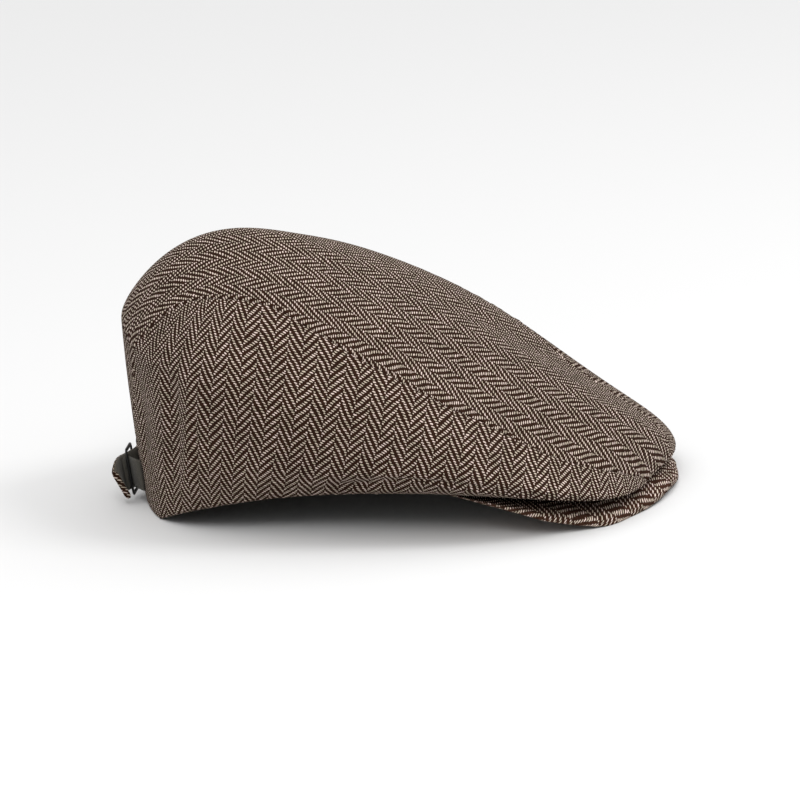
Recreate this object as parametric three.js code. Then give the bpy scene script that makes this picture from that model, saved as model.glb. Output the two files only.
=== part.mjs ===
import * as THREE from 'three';
import { mergeVertices } from 'three/addons/utils/BufferGeometryUtils.js';

// Flat cap of herringbone cloth, in millimetres. The front looks along -Y, +Z is up,
// and the back of the rim and the front of the peak stand on the floor.

// Driving sizes of the crown: the widest line, its height over the middle, and the rise to the back
const crownHalfWidth = 100;
const crownHalfLength = 129;
const crownHeight = 100.6;
const backRise = 67.5;

// Driving sizes of the rim round the head
const headHalfWidth = 80;
const headHalfLength = 101;
const rimSetBack = 20.5;
const rimLift = 17;

// Cloth and seams
const clothThickness = 2;
const foldPinch = 0.5;
const foldSpread = 0.06;
const seamGap = 0.3;
const dentDepth = 4;
const dentFade = 0.08;

// Driving sizes of the peak: across its widest, from its root ends to the front, and the height of its root
const peakHalfWidth = 80;
const peakReach = 88;
const peakDrop = 16.7;
const peakSetForward = 50.7;
const peakThickness = 4;
const peakSag = 4;
const peakRootTurn = 50;
const peakEdgeRound = 1.2;
const peakRootGap = 0.6;

// Driving sizes of the strap, its ring and the loop that holds the ring
const strapWidth = 17.5;
const strapThickness = 2;
const strapHeight = 14.5;
const strapStart = 27;
const strapStandOff = 8.6;
const ringAlong = 18.5;
const ringLength = 15;
const ringBar = 1.8;
const ringThickness = 1;
const ringPlay = 1;
const ringSwing = 8;
const ringLift = 0.4;
const loopWidth = 15;
const loopThickness = 1;
const loopLength = 9;
const fitGap = 0.3;
const loopPlay = 0.45;

// Where the widest line lies between the middle of the crown disc (0) and the rim (1)
const widestReach = 0.72;

// A row each 30 degrees round the crown, from the front middle (0) to the back middle (180).
// widest and rim are shares of the half sizes; widestHeight and tuck are shares of crownHeight;
// rimHeight is a share of rimLift, and nothing lies lower than the floor;
// crest and shoulder say how flat the top is and how round its edge is.
const sections = [
  { widest: 0.999, widestHeight: 0.120, rim: 1.005, rimHeight: 0.95, crest: 2.15, shoulder: 1.36, tuck: 0.05 },
  { widest: 1.092, widestHeight: 0.132, rim: 0.997, rimHeight: 0.81, crest: 2.19, shoulder: 1.18, tuck: 0.05 },
  { widest: 1.073, widestHeight: 0.306, rim: 1.045, rimHeight: 1.05, crest: 2.38, shoulder: 1.31, tuck: 0.08 },
  { widest: 0.997, widestHeight: 0.494, rim: 1.005, rimHeight: 1.02, crest: 2.60, shoulder: 2.13, tuck: 0.14 },
  { widest: 1.013, widestHeight: 0.721, rim: 1.076, rimHeight: 0.46, crest: 2.16, shoulder: 1.98, tuck: 0.28 },
  { widest: 0.949, widestHeight: 0.769, rim: 1.002, rimHeight: -0.26, crest: 2.26, shoulder: 2.40, tuck: 0.40 },
  { widest: 0.985, widestHeight: 0.882, rim: 1.003, rimHeight: -0.24, crest: 2.47, shoulder: 2.47, tuck: 0.42 },
];

// The seam between the top and a side, from the front of the crown to the rim at the back:
// turn in degrees from the front middle, reach as a share of the crown disc
const seam = [
  { turn: 11, reach: 0.717 },
  { turn: 14.5, reach: 0.660 },
  { turn: 31, reach: 0.502 },
  { turn: 48, reach: 0.395 },
  { turn: 64, reach: 0.408 },
  { turn: 80, reach: 0.400 },
  { turn: 95, reach: 0.360 },
  { turn: 110, reach: 0.333 },
  { turn: 125, reach: 0.380 },
  { turn: 139, reach: 0.480 },
  { turn: 151, reach: 0.720 },
  { turn: 168, reach: 0.970 },
];

// The lower front edge of the peak from its middle to a root end, as shares of the peak's sizes;
// thick is a share of peakThickness, less where the peak runs in under the rim
const peakEdge = [
  { across: 0.000, forward: 0.950, lift: 0.14, thick: 1.00 },
  { across: 0.240, forward: 0.932, lift: 0.06, thick: 1.00 },
  { across: 0.480, forward: 0.872, lift: 0.00, thick: 1.00 },
  { across: 0.719, forward: 0.784, lift: 0.00, thick: 1.00 },
  { across: 0.915, forward: 0.569, lift: 0.32, thick: 1.00 },
  { across: 1.000, forward: 0.400, lift: 0.64, thick: 0.90 },
  { across: 0.956, forward: 0.208, lift: 0.80, thick: 0.65 },
  { across: 0.850, forward: 0.000, lift: 0.88, thick: 0.35 },
];

// Soft dents and folds of the cloth: side -1 is the wearer's right, turn and reach give the middle,
// long and short are half lengths as shares of the disc, lean turns the long way from the spoke
const dents = [
  { side: -1, turn: 126, reach: 0.82, long: 0.16, short: 0.05, lean: 0, depth: 0.55 },
  { side: -1, turn: 117, reach: 0.82, long: 0.16, short: 0.05, lean: 0, depth: -0.35 },
  { side: -1, turn: 148, reach: 0.83, long: 0.06, short: 0.09, lean: 0, depth: 0.50 },
  { side: 1, turn: 148, reach: 0.83, long: 0.06, short: 0.09, lean: 0, depth: 0.50 },
  { side: -1, turn: 73, reach: 0.88, long: 0.05, short: 0.16, lean: -12, depth: 0.60 },
  { side: 1, turn: 73, reach: 0.88, long: 0.05, short: 0.16, lean: 12, depth: 0.50 },
  { side: 1, turn: 122, reach: 0.84, long: 0.15, short: 0.06, lean: 0, depth: 0.35 },
];

// The strap from the far seam of the back tongue to its free end: along is a share of strapStart
// from the back middle, lift a share of strapStandOff, height a share of strapHeight, lean in degrees
const strapRows = [
  { along: -0.93, lift: 0.00, height: 1.00, lean: 0 },
  { along: -0.62, lift: 0.00, height: 1.00, lean: 0 },
  { along: -0.32, lift: 0.00, height: 1.00, lean: 0 },
  { along: 0.00, lift: 0.00, height: 1.00, lean: 0 },
  { along: 0.28, lift: 0.00, height: 1.00, lean: 0 },
  { along: 0.48, lift: 0.03, height: 0.99, lean: 0 },
  { along: 0.66, lift: 0.40, height: 0.97, lean: 0 },
  { along: 0.83, lift: 0.90, height: 0.95, lean: 2 },
  { along: 0.96, lift: 1.05, height: 0.91, lean: 6 },
  { along: 1.06, lift: 1.08, height: 0.84, lean: 13 },
  { along: 1.15, lift: 1.10, height: 0.76, lean: 21 },
];

// Fineness of the faceted solids
const seamSteps = 36;
const topSteps = 16;
const sideSteps = 10;
const peakSteps = 28;
const strapSteps = 26;
const loopTurnSteps = 6;
const cornerSteps = 4;
const normalStep = 0.02;
const halvings = 30;

const colours = {
  tweed: 0x695a52,
  lining: 0x34332f,
  ring: 0x0c0c0d,
};

// Even cosine series through the rows of the section table, at a turn in radians
function cosineSeries(rows, column, turn) {
  const last = rows.length - 1;
  let sum = 0;
  for (let k = 0; k <= last; k += 1) {
    let weight = 0;
    for (let i = 0; i <= last; i += 1) {
      const share = i === 0 || i === last ? 0.5 : 1;
      weight += share * rows[i][column] * Math.cos((Math.PI * k * i) / last);
    }
    const half = k === 0 || k === last ? 0.5 : 1;
    sum += ((2 * half * weight) / last) * Math.cos(k * turn);
  }
  return sum;
}

// Smooth curve through the rows of a table, share runs from 0 to 1
function smoothRow(rows, column, share) {
  const last = rows.length - 1;
  const place = Math.min(Math.max(share, 0), 1) * last;
  const i = Math.min(Math.floor(place), last - 1);
  const f = place - i;
  const p1 = rows[i][column];
  const p2 = rows[i + 1][column];
  const p0 = i > 0 ? rows[i - 1][column] : 2 * p1 - p2;
  const p3 = i < last - 1 ? rows[i + 2][column] : 2 * p2 - p1;
  const a = 2 * p0 - 5 * p1 + 4 * p2 - p3;
  const b = 3 * p1 - p0 - 3 * p2 + p3;
  return 0.5 * (2 * p1 + (p2 - p0) * f + a * f * f + b * f * f * f);
}

const radians = (degrees) => (degrees * Math.PI) / 180;

// A point of the crown disc: turn in degrees from the front middle, positive to the wearer's left
function discPoint(turn, reach) {
  return new THREE.Vector2(reach * Math.sin(radians(turn)), -reach * Math.cos(radians(turn)));
}

// Outer surface of the crown without its dents
function smoothCrown(disc) {
  const reach = disc.length();
  const turn = Math.atan2(Math.abs(disc.x), -disc.y);
  const side = disc.x < 0 ? -1 : 1;
  const at = (column) => cosineSeries(sections, column, turn);
  const widestX = Math.sin(turn) * at('widest') * crownHalfWidth;
  const widestY = -Math.cos(turn) * at('widest') * crownHalfLength;
  const widestZ = at('widestHeight') * crownHeight;
  if (reach <= widestReach) {
    const t = Math.sin(((Math.PI / 2) * reach) / widestReach);
    const dome = Math.max(1 - t ** at('crest'), 0) ** (1 / at('shoulder'));
    const rise = backRise * (widestY / crownHalfLength) * t * (1 - t * t);
    const z = widestZ + (crownHeight - widestZ) * dome + rise;
    return new THREE.Vector3(side * widestX * t, widestY * t, z);
  }
  const w = Math.min((reach - widestReach) / (1 - widestReach), 1);
  const rimX = Math.sin(turn) * at('rim') * headHalfWidth;
  const rimY = rimSetBack - Math.cos(turn) * at('rim') * headHalfLength;
  const rimZ = Math.max(at('rimHeight') * rimLift, 0);
  const tuckZ = widestZ - at('tuck') * crownHeight;
  const x = THREE.MathUtils.lerp(widestX, rimX, w * w);
  const y = THREE.MathUtils.lerp(widestY, rimY, w * w);
  const z = (1 - w) ** 2 * widestZ + 2 * w * (1 - w) * tuckZ + w * w * rimZ;
  return new THREE.Vector3(side * x, y, z);
}

// Outward normal of a surface over the crown disc
function discNormal(surface, disc) {
  const inside = disc.clone().clampLength(0, 1 - normalStep);
  const alongX = surface(new THREE.Vector2(inside.x + normalStep, inside.y));
  alongX.sub(surface(new THREE.Vector2(inside.x - normalStep, inside.y)));
  const alongY = surface(new THREE.Vector2(inside.x, inside.y + normalStep));
  alongY.sub(surface(new THREE.Vector2(inside.x, inside.y - normalStep)));
  return alongX.cross(alongY).normalize();
}

// Depth of the dents at a place of the disc; it fades out at the rim, which lies flat
function dentAt(disc) {
  let depth = 0;
  for (const dent of dents) {
    const middle = discPoint(dent.side * dent.turn, dent.reach);
    const away = disc.clone().sub(middle);
    away.rotateAround(new THREE.Vector2(), radians(-dent.side * (dent.turn + dent.lean)));
    depth += dent.depth * Math.exp(-((away.y / dent.long) ** 2) - (away.x / dent.short) ** 2);
  }
  const fade = THREE.MathUtils.smoothstep(1 - disc.length(), 0, dentFade);
  return depth * dentDepth * fade;
}

// Outer surface of the crown
function crownPoint(disc) {
  const point = smoothCrown(disc);
  return point.addScaledVector(discNormal(smoothCrown, disc), -dentAt(disc));
}

// Inner surface of the cloth under a place: the cloth is pressed thinner in the sharp front fold,
// and the lowest edge keeps its height where it stands flat
function clothInside(disc, point) {
  const normal = discNormal(smoothCrown, disc);
  const fromFold = (disc.length() - widestReach) / foldSpread;
  const front = THREE.MathUtils.smoothstep(-disc.y, 0, widestReach);
  const thickness = clothThickness * (1 - foldPinch * front * Math.exp(-(fromFold ** 2)));
  if (point.z < clothThickness / 10) {
    normal.z = 0;
    normal.normalize();
  }
  return point.clone().addScaledVector(normal, -thickness);
}

// Closed mesh from triangles given as triples of points, with its faces pointing out
function closedMesh(triangles) {
  const positions = new Float32Array(triangles.length * 9);
  triangles.flat().forEach((point, i) => point.toArray(positions, i * 3));
  const loose = new THREE.BufferGeometry();
  loose.setAttribute('position', new THREE.BufferAttribute(positions, 3));
  const merged = mergeVertices(loose, 1e-4);
  const corners = Array.from(merged.index.array);
  const kept = [];
  let volume = 0;
  const [a, b, c] = [new THREE.Vector3(), new THREE.Vector3(), new THREE.Vector3()];
  for (let i = 0; i < corners.length; i += 3) {
    const [ia, ib, ic] = corners.slice(i, i + 3);
    if (ia !== ib && ib !== ic && ic !== ia) {
      kept.push(ia, ib, ic);
      a.fromBufferAttribute(merged.attributes.position, ia);
      b.fromBufferAttribute(merged.attributes.position, ib);
      c.fromBufferAttribute(merged.attributes.position, ic);
      volume += a.dot(b.cross(c));
    }
  }
  merged.setIndex(volume < 0 ? kept.reverse() : kept);
  merged.computeVertexNormals();
  return merged;
}

// Two triangles for a four-cornered face
const quad = (a, b, c, d) => [[a, b, c], [a, c, d]];

// Closed solid between two grids of points that have the same rows and columns
function slab(outer, inner) {
  const triangles = [];
  const rows = outer.length - 1;
  const columns = outer[0].length - 1;
  for (let i = 0; i < rows; i += 1) {
    for (let j = 0; j < columns; j += 1) {
      triangles.push(...quad(outer[i][j], outer[i + 1][j], outer[i + 1][j + 1], outer[i][j + 1]));
      triangles.push(...quad(inner[i][j], inner[i][j + 1], inner[i + 1][j + 1], inner[i + 1][j]));
    }
    triangles.push(...quad(outer[i][0], inner[i][0], inner[i + 1][0], outer[i + 1][0]));
    triangles.push(...quad(outer[i][columns], outer[i + 1][columns], inner[i + 1][columns], inner[i][columns]));
  }
  for (let j = 0; j < columns; j += 1) {
    triangles.push(...quad(outer[0][j], outer[0][j + 1], inner[0][j + 1], inner[0][j]));
    triangles.push(...quad(outer[rows][j], inner[rows][j], inner[rows][j + 1], outer[rows][j + 1]));
  }
  return closedMesh(triangles);
}

const transpose = (grid) => grid[0].map((_, j) => grid.map((row) => row[j]));

// Draws the first row of a grid back from the seam that it meets, square to that seam
function trimFirstRow(grid) {
  const last = grid[0].length - 1;
  const trimmed = grid[0].map((point, j) => {
    const seamWay = grid[0][Math.min(j + 1, last)].clone().sub(grid[0][Math.max(j - 1, 0)]).normalize();
    const way = grid[1][j].clone().sub(point);
    way.addScaledVector(seamWay, -way.dot(seamWay)).setLength(seamGap / 2);
    return point.clone().add(way);
  });
  return [trimmed, ...grid.slice(1)];
}

// Trims the named edges of a grid; start and end are its first and last row, low and high its columns
function trimGrid(grid, edges) {
  let trimmed = edges.includes('start') ? trimFirstRow(grid) : grid;
  trimmed = edges.includes('end') ? trimFirstRow(trimmed.reverse()).reverse() : trimmed;
  let turned = transpose(trimmed);
  turned = edges.includes('low') ? trimFirstRow(turned) : turned;
  turned = edges.includes('high') ? trimFirstRow(turned.reverse()).reverse() : turned;
  return transpose(turned);
}

// A panel of cloth over a grid of disc points, trimmed along the edges that meet a seam
function clothPanel(discGrid, edges) {
  const lift = (surface) => trimGrid(discGrid.map((row) => row.map(surface)), edges);
  return slab(lift(crownPoint), lift((disc) => clothInside(disc, crownPoint(disc))));
}

// Places on the seam from front to back, as turn and reach
function seamPlaces() {
  return Array.from({ length: seamSteps + 1 }, (_, k) => ({
    turn: smoothRow(seam, 'turn', k / seamSteps),
    reach: smoothRow(seam, 'reach', k / seamSteps),
  }));
}

// One row of the top panel from seam to seam: straight over the middle, an arc near the front
// and the back and all along the rim
function topRow(place) {
  const row = [];
  const straight = place.reach < 1 ? Math.sin(radians(place.turn)) ** 2 : 0;
  for (let j = 0; j <= topSteps; j += 1) {
    const across = (2 * j) / topSteps - 1;
    const arcTurn = place.turn < 90 ? across * place.turn : 180 - across * (180 - place.turn);
    const arc = discPoint(arcTurn, place.reach);
    const chord = discPoint(place.turn, place.reach);
    chord.x *= across;
    row.push(arc.lerp(chord, straight));
  }
  return row;
}

function topPanel() {
  const places = seamPlaces();
  const first = places[0];
  const last = places[places.length - 1];
  const front = Array.from({ length: sideSteps }, (_, k) => ({
    turn: first.turn,
    reach: THREE.MathUtils.lerp(1, first.reach, k / sideSteps),
  }));
  const rows = [...front, ...places, { turn: last.turn, reach: 1 }].map(topRow);
  return clothPanel(rows, ['low', 'high']);
}

function sidePanel(side) {
  const columns = seamPlaces().map((place) => {
    const line = [];
    for (let j = 0; j <= sideSteps; j += 1) {
      const reach = THREE.MathUtils.lerp(1, place.reach, j / sideSteps);
      line.push(discPoint(side * place.turn, reach));
    }
    return line;
  });
  return clothPanel(columns, ['start', 'end', 'high']);
}

// The peak between its root under the rim and its lower front edge
function peak() {
  const top = [];
  const bottom = [];
  for (let i = 0; i <= peakSteps; i += 1) {
    const across = (2 * i) / peakSteps - 1;
    const side = Math.sign(across) || 1;
    const edgeAt = (column) => smoothRow(peakEdge, column, Math.abs(across));
    const edge = new THREE.Vector3(
      side * edgeAt('across') * peakHalfWidth,
      -peakSetForward - edgeAt('forward') * peakReach,
      Math.max(edgeAt('lift'), 0) * peakDrop,
    );
    const thickness = edgeAt('thick') * peakThickness;
    const root = smoothCrown(discPoint(across * peakRootTurn, 1));
    root.z -= peakRootGap;
    const upperEdge = edge.clone();
    upperEdge.z += thickness;
    const upper = [0, 0.25, 0.5, 0.75].map((u) => {
      const point = root.clone().lerp(upperEdge, u);
      point.z -= 4 * peakSag * u * (1 - u);
      return point;
    });
    const inward = root.clone().sub(edge).setZ(0).setLength(peakEdgeRound);
    upper.push(upperEdge.clone().add(inward));
    upper.push(edge.clone().setZ(edge.z + thickness / 2));
    const lower = upper.slice(0, 4).map((point) => point.clone().setZ(Math.max(point.z - thickness, 0)));
    lower.push(edge.clone().add(inward));
    lower.push(upper[5]);
    top.push(upper);
    bottom.push(lower);
  }
  return slab(top, bottom);
}

// Frame on the outside of the back wall: along is the way round from the back middle
// to the wearer's right, height is measured from the floor
function wallFrame(along, height) {
  const turnStep = 4;
  const middle = smoothCrown(discPoint(180 - turnStep, 1));
  const perDegree = middle.distanceTo(smoothCrown(discPoint(180, 1))) / turnStep;
  const turn = 180 + along / perDegree;
  let low = widestReach;
  let high = 1;
  for (let k = 0; k < halvings; k += 1) {
    const reach = (low + high) / 2;
    if (smoothCrown(discPoint(turn, reach)).z > height) {
      low = reach;
    } else {
      high = reach;
    }
  }
  const disc = discPoint(turn, high);
  const point = crownPoint(disc);
  const out = discNormal(smoothCrown, disc);
  const level = new THREE.Vector3(0, 0, 1).cross(out).normalize();
  const up = out.clone().cross(level);
  return { point, out, level, up };
}

// Flat ribbon through stations, each with its middle and its up and out ways
function ribbon(stations, width, thickness) {
  const side = (up, out) => stations.map((s) => {
    const place = s.middle.clone().addScaledVector(s.up, up * width);
    return place.addScaledVector(s.out, out * thickness);
  });
  const outer = transpose([side(-0.5, 0.5), side(0, 0.5), side(0.5, 0.5)]);
  const inner = transpose([side(-0.5, -0.5), side(0, -0.5), side(0.5, -0.5)]);
  return slab(outer, inner);
}

// The strap comes from the far seam, passes through the ring and ends free
function backStrap() {
  const stations = [];
  for (let i = 0; i <= strapSteps; i += 1) {
    const at = (column) => smoothRow(strapRows, column, i / strapSteps);
    const frame = wallFrame(at('along') * strapStart, at('height') * strapHeight);
    const stand = fitGap + strapThickness / 2 + at('lift') * strapStandOff;
    const middle = frame.point.clone().addScaledVector(frame.out, stand);
    const up = frame.up.clone().applyAxisAngle(frame.level, radians(at('lean')));
    const out = frame.out.clone().applyAxisAngle(frame.level, radians(at('lean')));
    stations.push({ middle, up, out });
  }
  stations.forEach((station, i) => {
    const before = stations[Math.max(i - 1, 0)].middle;
    const after = stations[Math.min(i + 1, strapSteps)].middle;
    const way = after.clone().sub(before).normalize();
    station.out.addScaledVector(way, -station.out.dot(way)).normalize();
  });
  return ribbon(stations, strapWidth, strapThickness);
}

// The ring's far bar lies on the strap, and its near bar swings off the cloth
const farBarStand = fitGap + strapThickness + fitGap + ringThickness / 2;
const barOffset = ringLength / 2 - ringBar / 2;

// Frame of the ring: its middle and its own along, up and out ways
function ringFrame() {
  const wall = wallFrame(ringAlong, strapHeight);
  const swing = radians(ringSwing);
  const along = wallFrame(ringAlong + 1, strapHeight).point.sub(wall.point);
  along.addScaledVector(wall.out, -along.dot(wall.out)).normalize();
  const stand = farBarStand + ringLift + barOffset * Math.sin(swing);
  const middle = wall.point.clone().addScaledVector(wall.out, stand);
  const way = along.clone().multiplyScalar(Math.cos(swing)).addScaledVector(wall.out, Math.sin(swing));
  const out = wall.out.clone().multiplyScalar(Math.cos(swing)).addScaledVector(along, -Math.sin(swing));
  const up = out.clone().cross(way);
  return { middle, way, up, out };
}

// Rounded rectangle about the origin
function roundedRectangle(shape, width, height, radius) {
  const x = width / 2;
  const y = height / 2;
  shape.moveTo(-x + radius, -y);
  shape.lineTo(x - radius, -y);
  shape.absarc(x - radius, -y + radius, radius, -Math.PI / 2, 0);
  shape.lineTo(x, y - radius);
  shape.absarc(x - radius, y - radius, radius, 0, Math.PI / 2);
  shape.lineTo(-x + radius, y);
  shape.absarc(-x + radius, y - radius, radius, Math.PI / 2, Math.PI);
  shape.lineTo(-x, -y + radius);
  shape.absarc(-x + radius, -y + radius, radius, Math.PI, 1.5 * Math.PI);
  return shape;
}

function strapRing() {
  const windowLength = ringLength - 2 * ringBar;
  const windowHeight = strapWidth + 2 * ringPlay;
  const ringHeight = windowHeight + 2 * ringBar;
  const shape = roundedRectangle(new THREE.Shape(), ringLength, ringHeight, ringBar);
  shape.holes.push(roundedRectangle(new THREE.Path(), windowLength, windowHeight, ringBar / 2));
  const plate = new THREE.ExtrudeGeometry(shape, {
    depth: ringThickness,
    bevelEnabled: false,
    curveSegments: cornerSteps,
  });
  plate.translate(0, 0, -ringThickness / 2);
  plate.deleteAttribute('normal');
  plate.deleteAttribute('uv');
  const frame = ringFrame();
  const place = new THREE.Matrix4().makeBasis(frame.way, frame.up, frame.out);
  place.setPosition(frame.middle);
  const solid = mergeVertices(plate.applyMatrix4(place), 1e-4);
  solid.computeVertexNormals();
  return solid;
}

// The short loop of lining cloth, stitched to the near side, that goes round the near bar
function ringLoop() {
  const frame = ringFrame();
  const bar = frame.middle.clone().addScaledVector(frame.way, barOffset);
  const halfBar = ringBar / 2 + loopPlay + loopThickness / 2;
  const halfThick = ringThickness / 2 + loopPlay + loopThickness / 2;
  const root = wallFrame(ringAlong + barOffset + loopLength, strapHeight);
  const stitched = root.point.clone().addScaledVector(root.out, fitGap + loopThickness / 2);
  const stations = [{ middle: stitched, up: root.up, out: root.out }];
  for (let k = 0; k <= loopTurnSteps; k += 1) {
    const angle = (Math.PI * k) / loopTurnSteps;
    const middle = bar.clone().addScaledVector(frame.way, -halfBar * Math.sin(angle));
    middle.addScaledVector(frame.out, -halfThick * Math.cos(angle));
    const out = frame.out.clone().multiplyScalar(Math.cos(angle));
    out.addScaledVector(frame.way, Math.sin(angle));
    stations.push({ middle, up: frame.up, out });
  }
  const end = bar.clone().addScaledVector(frame.way, loopLength / 3).addScaledVector(frame.out, halfThick);
  stations.push({ middle: end, up: frame.up, out: frame.out.clone().negate() });
  return ribbon(stations, loopWidth, loopThickness);
}

function named(name, geometry, colour, roughness, metalness) {
  const material = new THREE.MeshStandardMaterial({ color: colour, roughness, metalness });
  const mesh = new THREE.Mesh(geometry, material);
  mesh.name = name;
  return mesh;
}

const cap = new THREE.Group();
cap.add(named('top_panel', topPanel(), colours.tweed, 0.9, 0));
cap.add(named('side_panel_right', sidePanel(-1), colours.tweed, 0.9, 0));
cap.add(named('side_panel_left', sidePanel(1), colours.tweed, 0.9, 0));
cap.add(named('peak', peak(), colours.tweed, 0.9, 0));
cap.add(named('back_strap', backStrap(), colours.tweed, 0.9, 0));
cap.add(named('strap_anchor', ringLoop(), colours.lining, 0.9, 0));
cap.add(named('strap_slider', strapRing(), colours.ring, 0.4, 0));

// The origin lies on the floor under the middle of the whole cap
const outline = new THREE.Box3().setFromObject(cap, true);
const middle = outline.getCenter(new THREE.Vector3());
cap.position.set(-middle.x, -middle.y, -outline.min.z);
cap.updateMatrixWorld(true);

export default cap;
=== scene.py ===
import math
import bpy
import numpy as np
from mathutils import Matrix, Vector


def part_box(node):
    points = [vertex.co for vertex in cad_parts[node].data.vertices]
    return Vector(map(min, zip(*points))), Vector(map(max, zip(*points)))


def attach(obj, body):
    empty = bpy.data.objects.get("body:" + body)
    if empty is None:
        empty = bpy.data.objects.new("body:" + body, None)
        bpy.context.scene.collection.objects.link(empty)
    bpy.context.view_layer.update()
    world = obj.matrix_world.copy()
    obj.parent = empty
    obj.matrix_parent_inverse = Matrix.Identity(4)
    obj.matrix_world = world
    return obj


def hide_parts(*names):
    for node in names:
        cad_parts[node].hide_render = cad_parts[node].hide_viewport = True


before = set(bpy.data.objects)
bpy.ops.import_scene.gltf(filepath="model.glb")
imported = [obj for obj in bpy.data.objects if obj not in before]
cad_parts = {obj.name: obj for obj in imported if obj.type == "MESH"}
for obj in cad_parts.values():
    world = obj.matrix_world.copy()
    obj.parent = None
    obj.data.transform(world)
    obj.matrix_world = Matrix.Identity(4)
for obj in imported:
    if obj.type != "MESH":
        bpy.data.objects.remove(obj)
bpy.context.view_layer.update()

MM = 0.001

# Sizes are in millimetres, as in the part's source.
CROWN = dict(half_width=100.0, half_length=129.0, height=100.6, back_rise=67.5)
HEAD = dict(half_width=80.0, half_length=101.0, set_back=20.5, lift=17.0)
CLOTH = 2.0
WIDEST_REACH = 0.72
RIM_REACH = 0.999
SEAM_CROWDING = 1.12
DENT_DEPTH = 4.0
DENT_FADE = 0.08
PEAK = dict(half_width=80.0, reach=88.0, drop=16.7, forward=50.7, thick=4.0, root_turn=50.0, root_gap=0.6)
STRAP = dict(width=17.5, thick=2.0, height=14.5, start=27.0, stand=8.6)
RING = dict(along=18.5, length=15.0, bar=1.8, thick=1.0, play=1.0, swing=8.0, lift=0.4, corner=1.4)
LOOP = dict(width=15.0, thick=1.0, length=9.0, play=0.45)
FIT = 0.3

# The dressed peak: its edge is thinner than its body, and its corners and its climb to the crown are higher.
PEAK_DRESS = dict(
    thin=0.7, corner_lift=1.5, corner_from=0.6, climb=0.78, side_climb=0.26, crowding=1.6, round=0.8,
    blend=6, stitch=-0.22, stitch_at=6.5, stitch_width=0.6, groove=-0.25, groove_width=0.7,
    ripple=0.08, ripple_width=6.0,
)
# Height, place and width of the grooves and swellings near a seam and a hem.
RELIEF = dict(
    groove=-0.5, groove_width=0.7, swell=0.10, swell_at=2.4, swell_width=2.0, pull_width=11.0, ripple=0.12,
    edge=-0.7, edge_width=0.6, stitch=-0.14, stitch_at=2.6, hem_width=6.0,
)
WAVE_LENGTHS = (4.3, 6.1, 8.7, 13.0, 21.0)
WAVE_SCALE = 2.2
SEEDS = dict(top=3, right=11, left=19, peak=5, rim=7)
GRID = dict(
    top_rows=250, top_columns=171, front_rows=56, back_rows=4, side_columns=300, side_rows=131,
    peak_across=221, peak_run=40, strap=120, strap_across=24, loop_across=16,
)

# Shape of the crown every 30 degrees of turn, from the front middle to the back middle.
SECTIONS = dict(
    widest=[0.999, 1.092, 1.073, 0.997, 1.013, 0.949, 0.985],
    widest_height=[0.120, 0.132, 0.306, 0.494, 0.721, 0.769, 0.882],
    rim=[1.005, 0.997, 1.045, 1.005, 1.076, 1.002, 1.003],
    rim_height=[0.95, 0.81, 1.05, 1.02, 0.46, -0.26, -0.24],
    crest=[2.15, 2.19, 2.38, 2.60, 2.16, 2.26, 2.47],
    shoulder=[1.36, 1.18, 1.31, 2.13, 1.98, 2.40, 2.47],
    tuck=[0.05, 0.05, 0.08, 0.14, 0.28, 0.40, 0.42],
)
# Turn and reach of the seam between the top and a side, reach 1 being the rim.
SEAM = np.array([
    (11, 0.717), (14.5, 0.660), (31, 0.502), (48, 0.395), (64, 0.408), (80, 0.400),
    (95, 0.360), (110, 0.333), (125, 0.380), (139, 0.480), (151, 0.720), (168, 0.970),
])
# Across, forward, lift and thickness of the peak's outline, as shares of its sizes.
PEAK_EDGE = np.array([
    (0.000, 0.950, 0.14, 1.00), (0.240, 0.932, 0.06, 1.00), (0.480, 0.872, 0.00, 1.00),
    (0.719, 0.784, 0.00, 1.00), (0.915, 0.569, 0.32, 1.00), (1.000, 0.400, 0.64, 0.90),
    (0.956, 0.208, 0.80, 0.65), (0.850, 0.000, 0.88, 0.35),
])
# Side, turn, reach, length, width, lean and depth of each soft dent.
DENTS = [
    (-1, 126, 0.82, 0.16, 0.05, 0, 0.55), (-1, 117, 0.82, 0.16, 0.05, 0, -0.35),
    (-1, 148, 0.83, 0.06, 0.09, 0, 0.50), (1, 148, 0.83, 0.06, 0.09, 0, 0.50),
    (-1, 73, 0.88, 0.05, 0.16, -12, 0.60), (1, 73, 0.88, 0.05, 0.16, 12, 0.50),
    (1, 122, 0.84, 0.15, 0.06, 0, 0.35),
]
# Finer folds that only the dressed cloth has, in the same order.
FOLDS = [
    (-1, 117.5, 0.86, 0.12, 0.016, 1.5, 0.35), (-1, 121, 0.88, 0.10, 0.014, 0, -0.16),
    (-1, 66, 0.82, 0.030, 0.11, -20, 0.32), (-1, 78, 0.93, 0.025, 0.10, -8, 0.25),
    (1, 8, 0.44, 0.16, 0.035, 0, 0.12), (1, 14, 0.50, 0.14, 0.03, 6, -0.10),
    (-1, 5, 0.58, 0.10, 0.03, 0, 0.12), (1, 118, 0.86, 0.11, 0.018, 2, 0.28),
    (1, 60, 0.84, 0.03, 0.10, 16, 0.25), (-1, 150, 0.90, 0.04, 0.05, 0, 0.20),
]
# Along, lift and height of the strap's stations as shares of its sizes, and their lean in degrees.
STRAP_ROWS = np.array([
    (-0.93, 0.00, 1.00, 0), (-0.62, 0.00, 1.00, 0), (-0.32, 0.00, 1.00, 0), (0.00, 0.00, 1.00, 0),
    (0.28, 0.00, 1.00, 0), (0.48, 0.03, 0.99, 0), (0.66, 0.40, 0.97, 0), (0.83, 0.90, 0.95, 2),
    (0.96, 1.05, 0.91, 6), (1.06, 1.08, 0.84, 13), (1.15, 1.10, 0.76, 21),
])

# The cloth: width of a yarn across and along, and how the pattern repeats.
END = 0.86
PICK = 1.11
ENDS_A_COLUMN = 8
REPEAT = 4
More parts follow.
